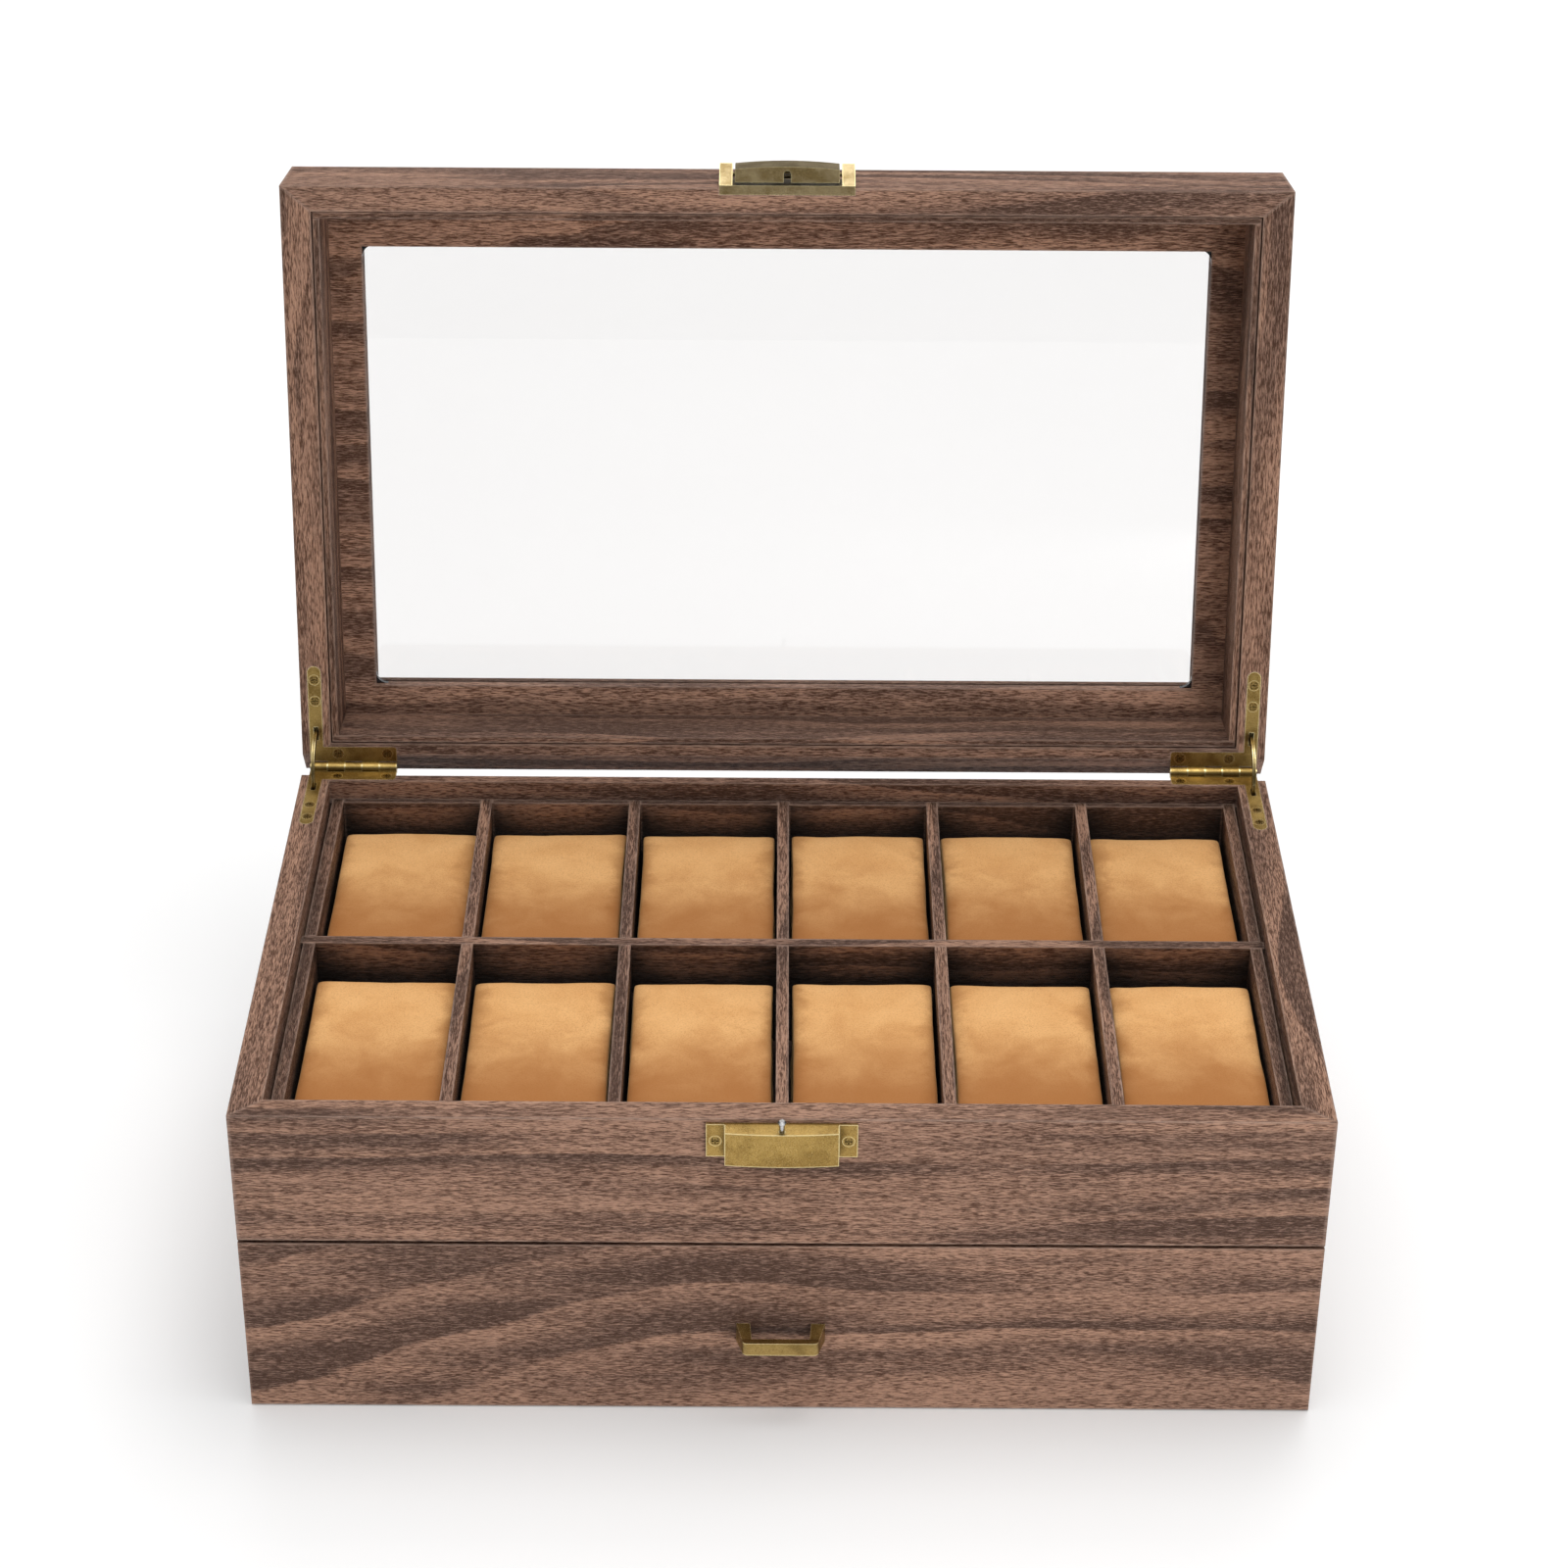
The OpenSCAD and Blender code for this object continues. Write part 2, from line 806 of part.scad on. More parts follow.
module handle_screw_shape() {
    length = drawer_front_t + 4;
    translate([0, 0, -length]) cylinder(h = length + 1, r = handle_screw_r);
    cylinder(h = handle_head_h, r = handle_head_r);
}

module drawer_front() {
    color([0.5, 0.39, 0.33])
        difference() {
            block([-half_w, front_y, drawer_front_z],
                  [half_w, front_y + drawer_front_t, drawer_front_z + drawer_front_h]);
            handle_screw_places() handle_screw_shape();
        }
}

module drawer_bottom_body() {
    block([-drawer_x + drawer_side_t - drawer_groove, front_y + drawer_front_t,
           drawer_bottom_z],
          [drawer_x - drawer_side_t + drawer_groove,
           drawer_back_y - drawer_side_t + drawer_groove, drawer_bottom_z + drawer_bottom_t]);
}

module drawer_side(side) {
    color([0.4, 0.31, 0.26])
        difference() {
            on_side(side)
                block([drawer_x - drawer_side_t, front_y + drawer_front_t, drawer_z],
                      [drawer_x, drawer_back_y, drawer_z + drawer_side_h]);
            drawer_bottom_body();
        }
}

module drawer_back() {
    color([0.4, 0.31, 0.26])
        difference() {
            block([-drawer_x + drawer_side_t, drawer_back_y - drawer_side_t, drawer_z],
                  [drawer_x - drawer_side_t, drawer_back_y, drawer_z + drawer_side_h]);
            drawer_bottom_body();
        }
}

module drawer_bottom() {
    color([0.4, 0.31, 0.26]) drawer_bottom_body();
}

module drawer_lining() {
    color([0.76, 0.55, 0.32])
        block([-drawer_x + drawer_side_t, front_y + drawer_front_t,
               drawer_floor_z - lining_t],
              [drawer_x - drawer_side_t, drawer_back_y - drawer_side_t, drawer_floor_z]);
}

module drawer_dividers() {
    third = (drawer_x - drawer_side_t) / 3;
    color([0.76, 0.55, 0.32])
        for (side = [-1, 1])
            on_side(side)
                block([third - drawer_divider_t / 2, front_y + drawer_front_t, drawer_floor_z],
                      [third + drawer_divider_t / 2, drawer_back_y - drawer_side_t,
                       drawer_floor_z + drawer_divider_h]);
}

// One rounded corner of the bridge handle's plan, from the foot's side to the front
function handle_corner(side) = [for (t = [0:10:90])
    [side * (handle_w / 2 - handle_taper - handle_corner_r * (1 - cos(t))),
     handle_corner_r * (1 - sin(t)) - handle_out]];

// Plan of the bridge handle
module handle_plan() {
    foot_x = handle_w / 2;
    gap_x = foot_x - handle_foot_w;
    right = handle_corner(1);
    difference() {
        polygon(concat([[foot_x, 0], [-foot_x, 0]], handle_corner(-1),
                       [for (i = [len(right) - 1:-1:0]) right[i]]));
        polygon([[-gap_x, 1], [-gap_x, 0], [-gap_x + 0.5, -handle_out + handle_bar_t],
                 [gap_x - 0.5, -handle_out + handle_bar_t], [gap_x, 0], [gap_x, 1]]);
    }
}

module drawer_handle() {
    foot = handle_foot_h / 2;
    bar = handle_bar_h / 2;
    color([0.68, 0.57, 0.33])
        difference() {
            intersection() {
                translate([0, front_y, handle_z - foot])
                    linear_extrude(handle_foot_h) handle_plan();
                along_x(-half_w, box_w)
                    polygon([for (p = [[0, -foot], [-handle_out + handle_bar_t, -bar],
                                       [-handle_out - 1, -bar], [-handle_out - 1, bar],
                                       [-handle_out + handle_bar_t, bar], [0, foot]])
                             p + [front_y, handle_z]]);
            }
            handle_screw_places() handle_screw_shape();
        }
}

module handle_screws() {
    color([0.55, 0.45, 0.25])
        handle_screw_places()
            difference() {
                handle_screw_shape();
                translate([0, 0, handle_head_h - 0.2]) cross_recess(1.4);
            }
}

side_wall(-1);  // side_wall_left
side_wall(1);  // side_wall_right
back_wall();
upper_front_wall();
base_panel();
deck_panel();
long_strip_back();
long_strip_centre();
long_strip_front();
end_strips();
cross_dividers();
case_leaf(-1);  // case_leaf_left
case_leaf(1);  // case_leaf_right
hinge_pins();
case_hinge_screws();
catch_plate();
catch_pin();
catch_screws();
lid_front_rail();
lid_back_rail();
lid_stile(-1);  // lid_stile_left
lid_stile(1);  // lid_stile_right
lid_top_panel();
lid_inner_frame();
lid_glass();
glass_corner_pads();
lid_liner_long();
lid_liner_short();
lid_leaf(-1);  // lid_leaf_left
lid_leaf(1);  // lid_leaf_right
lid_hinge_screws();
latch_housing();
latch_screws();
flap_pivot_pin();
flap_spring();
latch_flap();
stay(-1);  // stay_left
stay(1);  // stay_right
drawer_front();
drawer_side(-1);  // drawer_side_left
drawer_side(1);  // drawer_side_right
drawer_back();
drawer_bottom();
drawer_lining();
drawer_dividers();
drawer_handle();
handle_screws();
for (n = [1:12])
    cushion(n);
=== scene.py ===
"""Looks for a two-tier watch box: wood-grain covering, antique brass, glass and twelve suede cushions.

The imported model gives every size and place. This script adds the materials, the softened edges, the
sewn cushions, the floor, the lights and the camera.
"""
import json
import math

import bmesh
import bpy
from mathutils import Matrix, Vector, noise


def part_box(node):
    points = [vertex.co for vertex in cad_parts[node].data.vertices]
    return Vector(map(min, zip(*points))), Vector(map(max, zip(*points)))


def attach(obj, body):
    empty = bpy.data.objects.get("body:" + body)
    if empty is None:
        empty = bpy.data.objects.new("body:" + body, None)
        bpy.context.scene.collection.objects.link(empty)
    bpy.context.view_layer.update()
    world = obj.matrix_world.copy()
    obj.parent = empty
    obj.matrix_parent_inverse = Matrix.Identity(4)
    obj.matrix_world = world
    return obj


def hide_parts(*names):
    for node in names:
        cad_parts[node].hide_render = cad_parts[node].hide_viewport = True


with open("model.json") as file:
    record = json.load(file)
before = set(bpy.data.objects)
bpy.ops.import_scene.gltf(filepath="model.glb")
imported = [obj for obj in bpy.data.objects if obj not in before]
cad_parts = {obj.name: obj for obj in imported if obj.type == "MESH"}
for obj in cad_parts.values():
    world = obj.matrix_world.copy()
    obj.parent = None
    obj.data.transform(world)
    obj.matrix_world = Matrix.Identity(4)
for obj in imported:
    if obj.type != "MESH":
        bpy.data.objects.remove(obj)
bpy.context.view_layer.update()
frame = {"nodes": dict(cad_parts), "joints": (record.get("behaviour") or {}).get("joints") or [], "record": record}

MM = 0.001
NODES = frame["nodes"]
BODY_OF = {n: b for b, names in frame["record"]["behaviour"]["bodies"].items() for n in names}
HINGE = next(j for j in frame["joints"] if j["name"] == "lid_hinge")
LID_OPEN = -math.radians(HINGE["range_deg"][0])


# ---- node helpers ----

PROBE_SAMPLES = 6
# Cosine between the true and the rounded normal: on flat stretches, and where the edge is fully worn and carries
# its full painted highlight
FLAT_COSINE, WORN_AND_HIGHLIT_COSINE = 0.9995, 0.97
# Share of open sky round a point: in the open, and where fully hidden
OPEN_SKY, HIDDEN_SKY = 0.85, 0.25


class Tree:
    """Short calls for building one material's nodes."""

    def __init__(self, name):
        self.material = bpy.data.materials.new(name)
        self.material.use_nodes = True
        self.nodes = self.material.node_tree.nodes
        self.links = self.material.node_tree.links
        self.nodes.clear()
        self.shader = self.add("ShaderNodeBsdfPrincipled")
        out = self.add("ShaderNodeOutputMaterial")
        self.links.new(self.shader.outputs[0], out.inputs[0])

    def add(self, kind, **settings):
        made = self.nodes.new(kind)
        for key, value in settings.items():
            setattr(made, key, value)
        return made

    def feed(self, socket, value):
        if isinstance(value, bpy.types.NodeSocket):
            self.links.new(value, socket)
        else:
            socket.default_value = value

    def math(self, operation, *values, clamp=False):
        made = self.add("ShaderNodeMath", operation=operation, use_clamp=clamp)
        for socket, value in zip(made.inputs, values):
            self.feed(socket, value)
        return made.outputs[0]

    def ramp(self, value, low, high, to_low=0.0, to_high=1.0, smooth=True):
        made = self.add("ShaderNodeMapRange",
                        interpolation_type="SMOOTHSTEP" if smooth else "LINEAR")
        for socket, given in zip(made.inputs, (value, low, high, to_low, to_high)):
            self.feed(socket, given)
        return made.outputs[0]

    def mix(self, factor, first, second, blend="MIX"):
        made = self.add("ShaderNodeMix", data_type="RGBA", blend_type=blend)
        self.feed(made.inputs[0], factor)
        self.feed(made.inputs[6], first)
        self.feed(made.inputs[7], second)
        return made.outputs[2]

    def noise(self, vector, scale, detail=2.0, rough=0.5, distortion=0.0):
        made = self.add("ShaderNodeTexNoise")
        self.feed(made.inputs["Vector"], vector)
        made.inputs["Scale"].default_value = scale
        made.inputs["Detail"].default_value = detail
        made.inputs["Roughness"].default_value = rough
        made.inputs["Distortion"].default_value = distortion
        return made.outputs["Fac"]

    def mapping(self, vector, scale=(1, 1, 1), rotation=(0, 0, 0), location=(0, 0, 0)):
        made = self.add("ShaderNodeMapping")
        self.feed(made.inputs["Vector"], vector)
        made.inputs["Scale"].default_value = scale
        made.inputs["Rotation"].default_value = rotation
        made.inputs["Location"].default_value = location
        return made.outputs[0]

    def place(self):
        return self.add("ShaderNodeTexCoord").outputs["Object"]

    def bump(self, height, strength, distance):
        made = self.add("ShaderNodeBump")
        made.inputs["Strength"].default_value = strength
        made.inputs["Distance"].default_value = distance
        self.feed(made.inputs["Height"], height)
        return made.outputs[0]

    def edge_wear_and_highlight(self, width):
        """1 on convex edges, 0 on flat stretches."""
        bevel = self.add("ShaderNodeBevel", samples=PROBE_SAMPLES)
        bevel.inputs["Radius"].default_value = width
        geometry = self.add("ShaderNodeNewGeometry")
        dot = self.add("ShaderNodeVectorMath", operation="DOT_PRODUCT")
        self.links.new(bevel.outputs[0], dot.inputs[0])
        self.links.new(geometry.outputs["Normal"], dot.inputs[1])
        return self.ramp(dot.outputs["Value"], FLAT_COSINE, WORN_AND_HIGHLIT_COSINE)

    def hidden(self, reach):
        """1 deep between close walls, 0 in the open."""
        cover = self.add("ShaderNodeAmbientOcclusion", samples=PROBE_SAMPLES)
        cover.inputs["Distance"].default_value = reach
        return self.ramp(cover.outputs["AO"], OPEN_SKY, HIDDEN_SKY)


def colour(red, green, blue):
    """An sRGB colour given from 0 to 255, as the shader's linear one."""
    def linear(c):
        c /= 255
        return c / 12.92 if c <= 0.04045 else ((c + 0.055) / 1.055) ** 2.4
    return (linear(red), linear(green), linear(blue), 1.0)


# ---- materials ----

WOOD_LIGHT = colour(190, 147, 122)
WOOD_BAND = colour(158, 124, 107)
WOOD_CLOUD = colour(150, 116, 100)
PORE_IN_LIGHT = colour(94, 61, 44)
PORE_IN_BAND = colour(76, 51, 39)
THREAD_DARK = colour(58, 38, 29)
THREAD_LIGHT = colour(210, 172, 148)
WORN_AND_HIGHLIT_EDGE = colour(178, 150, 134)
CELL_SHADOW = colour(14, 7, 3)
CELL_REACH = 16 * MM
WOOD_WEAR_AND_HIGHLIGHT = 1.2 * MM
# Threshold of the pore noise in the light and in the dark bands, and its soft edge
PORE_COVER = (0.37, 0.70)
PORE_SOFTNESS = 0.19
# Where along the grain a sweep rises, and the full width of a bend
SWEEP_X = (-0.19, -0.01)
BEND_REACH = 0.085
SEED_SHIFT = (0.37, 0.023, 0.031)
GRAIN_TURN = {"x": 0.0, "y": math.radians(90)}
CLOSED_TILT = {"case": 0.0, "lid": LID_OPEN}


def ring_band(t, grain, split, seed, figure, sweep, ring, flip):
    """High in the dark part of each growth ring, low in the light part."""
    # A slow field across the grain, bent by a long noise, then cut into a sawtooth
    across = t.math("ADD", split.outputs[2], t.math("MULTIPLY", split.outputs[1], 0.8))
    bend = t.noise(t.mapping(grain, scale=(4.2, 15, 15)), 1.0, 2.0, 0.45, 0.2)
    bend = t.math("MULTIPLY", t.math("SUBTRACT", bend, 0.5), BEND_REACH * figure)
    rise = t.ramp(split.outputs[0], *SWEEP_X, 0.0, sweep)
    field = t.math("SUBTRACT", t.math("ADD", across, bend), rise)
    rings = t.math("ADD", t.math("DIVIDE", field, flip * ring), SEED_SHIFT[0] * seed)
    wobble = t.noise(t.mapping(grain, scale=(60, 420, 420)), 1.0, 2.0, 0.6)
    saw = t.math("FRACT", t.math("ADD", rings, t.math("MULTIPLY", wobble, 0.14)))
    band = t.math("MULTIPLY", t.ramp(saw, 0.0, 0.10), t.ramp(saw, 0.15, 0.97, 1.0, 0.0))
    # Some rings are strong and others faint, over a slow drift in tone
    drift = t.noise(t.mapping(grain, scale=(7, 75, 75)), 1.0, 3.0, 0.6)
    strong = t.noise(t.mapping(grain, scale=(5, 48, 48), location=(3, 1, 2)), 1.0, 2.0)
    band = t.math("MULTIPLY", band, t.ramp(strong, 0.36, 0.60, 0.15, 0.72))
    return t.math("ADD", band, t.ramp(drift, 0.28, 0.72, -0.14, 0.62, smooth=False))


def pores_and_hair(t, grain):
    """Short pores along the grain, and the longer fine hairs that are part of them."""
    fibre = t.noise(t.mapping(grain, scale=(330, 3600, 3600)), 1.0, 2.0, 0.65, 0.1)
    hair = t.noise(t.mapping(grain, scale=(150, 1500, 1500)), 1.0, 2.0, 0.6)
    pores = t.math("ADD", t.math("MULTIPLY", t.ramp(fibre, 0.33, 0.67, smooth=False), 0.65),
                   t.math("MULTIPLY", t.ramp(hair, 0.3, 0.7, smooth=False), 0.35))
    return pores, hair


def wood_colour(t, grain, band, dark_mask):
    """The printed colour, and the finest threads in it."""
    base = t.mix(t.ramp(band, 0.1, 0.9), WOOD_LIGHT, WOOD_BAND)
    tone = t.noise(t.mapping(grain, scale=(14, 110, 110)), 1.0, 2.0)
    base = t.mix(t.ramp(tone, 0.35, 0.7, 0.0, 0.25), base, WOOD_CLOUD)
    dark = t.mix(t.ramp(band, 0.1, 0.9), PORE_IN_LIGHT, PORE_IN_BAND)
    printed = t.mix(dark_mask, base, dark)
    thread = t.noise(t.mapping(grain, scale=(420, 6200, 6200)), 1.0, 2.0, 0.7)
    printed = t.mix(t.ramp(thread, 0.46, 0.28, 0.0, 0.55), printed, THREAD_DARK)
    printed = t.mix(t.ramp(thread, 0.54, 0.72, 0.0, 0.50), printed, THREAD_LIGHT)
    return printed, thread


def woodgrain(name, along="x", part="case", seed=0.0, figure=1.0, sweep=0.0, ring=0.0135,
              flip=1, painted_shading=1.0, depth=0.0):
    """Printed and embossed wood-grain covering. The grain runs along x or y of the closed box."""
    t = Tree(name)
    closed = t.mapping(t.place(), rotation=(CLOSED_TILT[part], 0, 0))
    grain = t.mapping(closed, rotation=(0, 0, GRAIN_TURN[along]))
    split = t.add("ShaderNodeSeparateXYZ")
    t.links.new(grain, split.inputs[0])
    grain = t.mapping(grain, location=[shift * seed for shift in SEED_SHIFT])

    band = ring_band(t, grain, split, seed, figure, sweep, ring, flip)
    pores, hair = pores_and_hair(t, grain)
    cover = t.ramp(band, 0.0, 1.0, *PORE_COVER, smooth=False)
    dark_mask = t.ramp(t.math("SUBTRACT", cover, pores), -PORE_SOFTNESS, PORE_SOFTNESS)
    printed, thread = wood_colour(t, grain, band, dark_mask)
    # Painted shading: the whole covering made darker, or lighter where the factor is above 1, for how light falls
    # on this part.
    if painted_shading != 1.0:
        printed = t.mix(1.0, printed, (painted_shading, painted_shading, painted_shading, 1), "MULTIPLY")
    # Painted shadow: the tray's wood turns near black deep in its cells, where the walls close in.
    if depth:
        printed = t.mix(t.math("MULTIPLY", t.hidden(CELL_REACH), depth), printed, CELL_SHADOW)
    # Lighter convex edges: partly real wear, partly a painted highlight along the rounded edges.
    wear_and_highlight = t.math("MULTIPLY", t.edge_wear_and_highlight(WOOD_WEAR_AND_HIGHLIGHT), t.ramp(hair, 0.35, 0.6, 0.25, 0.65))
    t.feed(t.shader.inputs["Base Color"], t.mix(wear_and_highlight, printed, WORN_AND_HIGHLIT_EDGE))

    height = t.math("SUBTRACT", t.math("ADD", pores, thread), t.math("MULTIPLY", dark_mask, 0.5))
    t.feed(t.shader.inputs["Normal"], t.bump(height, 0.8, 0.3 * MM))
    t.feed(t.shader.inputs["Roughness"], t.ramp(dark_mask, 0.0, 1.0, 0.46, 0.60))
    t.shader.inputs["Specular IOR Level"].default_value = 0.3
    return t.material


BOARD_DARK = colour(74, 56, 47)
BOARD_LIGHT = colour(105, 82, 69)
BOARD_CLOUD = colour(62, 46, 39)


def plain_board(name):
    """Dark covered fibreboard inside the case and round the drawer."""
    t = Tree(name)
    place = t.place()
    fleck = t.noise(t.mapping(place, scale=(260, 900, 900)), 1.0, 3.0, 0.6)
    cloud = t.noise(place, 24.0, 3.0)
    base = t.mix(t.ramp(fleck, 0.35, 0.65), BOARD_DARK, BOARD_LIGHT)
    base = t.mix(t.ramp(cloud, 0.3, 0.7, 0.0, 0.3), base, BOARD_CLOUD)
    t.feed(t.shader.inputs["Base Color"], base)
    t.feed(t.shader.inputs["Normal"], t.bump(fleck, 0.35, 0.2 * MM))
    t.feed(t.shader.inputs["Roughness"], t.ramp(fleck, 0.3, 0.7, 0.55, 0.72))
    return t.material


BRASS_SPECK = colour(92, 70, 34)
BRASS_GLINT = colour(228, 202, 138)
BRASS_GRIME_AND_SHADE = colour(38, 27, 12)
BRASS_WEAR_AND_HIGHLIGHT = 0.5 * MM


def brass(name, face, deep, worn_and_lit=(236, 220, 168), speckle=0.55, grime_and_shade_reach=1.2 * MM):
    """Antique brass: fine dark specks, painted glint specks, grime and painted shade in the corners, edges partly
    rubbed bright and partly painted highlight.
    """
    t = Tree(name)
    place = t.place()
    cloud = t.noise(place, 130.0, 3.0, 0.6)
    grains = t.noise(place, 3000.0, 3.0, 0.75)
    specks = t.noise(place, 5200.0, 2.0, 0.6)
    base = t.mix(t.ramp(cloud, 0.36, 0.68), colour(*face), colour(*deep))
    base = t.mix(t.ramp(grains, 0.46, 0.66, 0.0, speckle), base, BRASS_SPECK)
    base = t.mix(t.ramp(specks, 0.50, 0.70, 0.0, 0.5), base, BRASS_GLINT)
    # Darker corners and recesses: partly grime, partly painted shade, such as the shadow beside the catch's block.
    base = t.mix(t.math("MULTIPLY", t.hidden(grime_and_shade_reach), 0.85), base, BRASS_GRIME_AND_SHADE)
    # Bright convex edges: partly rubbed wear, partly a painted highlight along the rounded edges.
    rub_and_highlight = t.edge_wear_and_highlight(BRASS_WEAR_AND_HIGHLIGHT)
    base = t.mix(t.math("MULTIPLY", rub_and_highlight, 0.9), base, colour(*worn_and_lit))
    t.feed(t.shader.inputs["Base Color"], base)
    t.shader.inputs["Metallic"].default_value = 1.0
    rough = t.ramp(grains, 0.35, 0.7, 0.34, 0.52)
    t.feed(t.shader.inputs["Roughness"], t.math("SUBTRACT", rough, t.math("MULTIPLY", rub_and_highlight, 0.12)))
    t.feed(t.shader.inputs["Normal"], t.bump(grains, 0.35, 0.06 * MM))
    return t.material


STEEL_LIGHT = colour(208, 208, 206)
STEEL_DARK = colour(168, 168, 168)


def steel(name):
    """Plain bright steel with fine turning marks."""
    t = Tree(name)
    marks = t.noise(t.mapping(t.place(), scale=(900, 900, 9000)), 1.0, 2.0)
    t.feed(t.shader.inputs["Base Color"], t.mix(t.ramp(marks, 0.3, 0.7), STEEL_LIGHT, STEEL_DARK))
    t.shader.inputs["Metallic"].default_value = 1.0
    t.feed(t.shader.inputs["Roughness"], t.ramp(marks, 0.3, 0.7, 0.18, 0.32))
    return t.material


GLASS_TINT = (0.86, 0.85, 0.845, 1)


def clear_glass(name):
    """Thin clear glass, a trace of grey, that lets light straight through."""
    t = Tree(name)
    haze = t.noise(t.place(), 14.0, 2.0)
    t.feed(t.shader.inputs["Roughness"], t.ramp(haze, 0.3, 0.7, 0.0, 0.02))
    t.shader.inputs["Base Color"].default_value = GLASS_TINT
    t.shader.inputs["Transmission Weight"].default_value = 1.0
    t.shader.inputs["IOR"].default_value = 1.45
    return t.material


PAD_DARK = colour(14, 14, 16)
PAD_LIGHT = colour(34, 34, 38)


def black_pad(name):
    """Glossy black sealant in the window's corners."""
    t = Tree(name)
    ripple = t.noise(t.place(), 900.0, 2.0)
    t.feed(t.shader.inputs["Base Color"], t.mix(t.ramp(ripple, 0.4, 0.7), PAD_DARK, PAD_LIGHT))
    t.shader.inputs["Roughness"].default_value = 0.22
    t.feed(t.shader.inputs["Normal"], t.bump(ripple, 0.3, 0.2 * MM))
    return t.material


SUEDE_LIGHT = colour(232, 180, 120)
SUEDE_BRUSHED = colour(220, 164, 104)
PILE_SHADOW = colour(184, 126, 74)
PILE_TIP = colour(246, 204, 150)
SIDE_SHADE = colour(150, 96, 48)
FRONT_SHADE = colour(160, 102, 56)
FOOT_SHADE = colour(138, 90, 50)
SUEDE_SHEEN = colour(244, 206, 150)


def shade_rim(t, base, brushed):
    """Paints shade onto a cushion's suede, unevenly, darker towards its sides, its front and its foot."""
    split = t.add("ShaderNodeSeparateXYZ")
    t.links.new(t.add("ShaderNodeTexCoord").outputs["Generated"], split.inputs[0])
    ragged = t.math("MULTIPLY", t.math("SUBTRACT", brushed, 0.5), 0.35)
    off_centre = t.math("ABSOLUTE", t.math("SUBTRACT", split.outputs[0], 0.5))
    side = t.ramp(t.math("ADD", off_centre, ragged), 0.36, 0.52)
    front = t.ramp(t.math("SUBTRACT", split.outputs[1], ragged), 0.75, 0.15)
    low = t.ramp(split.outputs[2], 0.90, 0.55)
    base = t.mix(t.math("MULTIPLY", side, 0.50), base, SIDE_SHADE)
    base = t.mix(t.math("MULTIPLY", front, 0.85), base, FRONT_SHADE)
    return t.mix(t.math("MULTIPLY", low, 0.60), base, FOOT_SHADE)


def suede(name, seed, painted_rim_shade=True):
    """Camel suede: a soft pile, brushed into lighter and darker patches, and on cushions painted shade towards the
    sides, front and foot.
    """
    t = Tree(name)
    place = t.mapping(t.place(), location=(0.11 * seed, 0.07 * seed, 0))
    pile = t.noise(place, 1700.0, 3.0, 0.75)
    brushed = t.noise(place, 60.0, 3.0, 0.6, 0.3)
    fine = t.noise(place, 4200.0, 1.0)
    base = t.mix(t.ramp(brushed, 0.3, 0.72), SUEDE_LIGHT, SUEDE_BRUSHED)
    base = t.mix(t.ramp(pile, 0.45, 0.68, 0.0, 0.45), base, PILE_SHADOW)
    base = t.mix(t.ramp(fine, 0.5, 0.75, 0.0, 0.4), base, PILE_TIP)
    if painted_rim_shade:
        base = shade_rim(t, base, brushed)
    t.feed(t.shader.inputs["Base Color"], base)
    t.shader.inputs["Roughness"].default_value = 0.95
    t.shader.inputs["Specular IOR Level"].default_value = 0.1
    t.shader.inputs["Sheen Weight"].default_value = 0.5
    t.shader.inputs["Sheen Roughness"].default_value = 0.35
    t.shader.inputs["Sheen Tint"].default_value = SUEDE_SHEEN
    height = t.math("ADD", t.math("MULTIPLY", pile, 0.6), t.math("MULTIPLY", fine, 0.4))
    t.feed(t.shader.inputs["Normal"], t.bump(height, 0.6, 0.25 * MM))
    return t.material


# ---- the CAD nodes: materials and softened edges ----

# Factors below 1 darken the tray's strips and the lid's short liners with painted shade, one above 1 lightens the
# lid's inner frame with painted light, and the tray's strips also get painted shadow deep in their cells.
WOOD = {
    "upper_front_wall": dict(along="x", seed=1, figure=0.22, ring=0.0105, flip=-1),
    "drawer_front": dict(along="x", seed=2, figure=0.6, sweep=0.042, ring=0.0205),
    "back_wall": dict(along="x", seed=3, figure=0.6),
    "side_wall_left": dict(along="y", seed=4, figure=0.6),
    "side_wall_right": dict(along="y", seed=5, figure=0.6),
    "long_strip_back": dict(along="x", seed=6, painted_shading=0.95, depth=1.0),
    "long_strip_centre": dict(along="x", seed=7, painted_shading=0.95, depth=1.0),
    "long_strip_front": dict(along="x", seed=8, painted_shading=0.95, depth=1.0),
    "end_strips": dict(along="y", seed=9, painted_shading=0.95, depth=1.0),
    "cross_dividers": dict(along="y", seed=10, painted_shading=0.95, depth=1.0),
    "lid_front_rail": dict(along="x", part="lid", seed=11),
    "lid_back_rail": dict(along="x", part="lid", seed=12),
    "lid_stile_left": dict(along="y", part="lid", seed=13),
    "lid_stile_right": dict(along="y", part="lid", seed=14),
    "lid_top_panel": dict(along="x", part="lid", seed=15),
    "lid_inner_frame": dict(along="x", part="lid", seed=15, painted_shading=1.2),
    "lid_liner_long": dict(along="x", part="lid", seed=17),
    "lid_liner_short": dict(along="y", part="lid", seed=18, painted_shading=0.9),
}
BOARDS = ("base_panel", "deck_panel", "drawer_side_left", "drawer_side_right", "drawer_back",
          "drawer_bottom")
BRASS_NODES = {
    "hinge_brass": ("case_leaf_left", "case_leaf_right", "lid_leaf_left", "lid_leaf_right",
                    "hinge_pins"),
    "catch_brass": ("catch_plate",),
    "latch_brass_painted_light": ("latch_housing", "latch_flap", "flap_pivot_pin"),
    "handle_brass": ("drawer_handle",),
    "screw_brass": ("case_hinge_screws", "lid_hinge_screws", "catch_screws", "latch_screws",
                    "handle_screws"),
    "stay_brass": ("stay_left", "stay_right"),
}
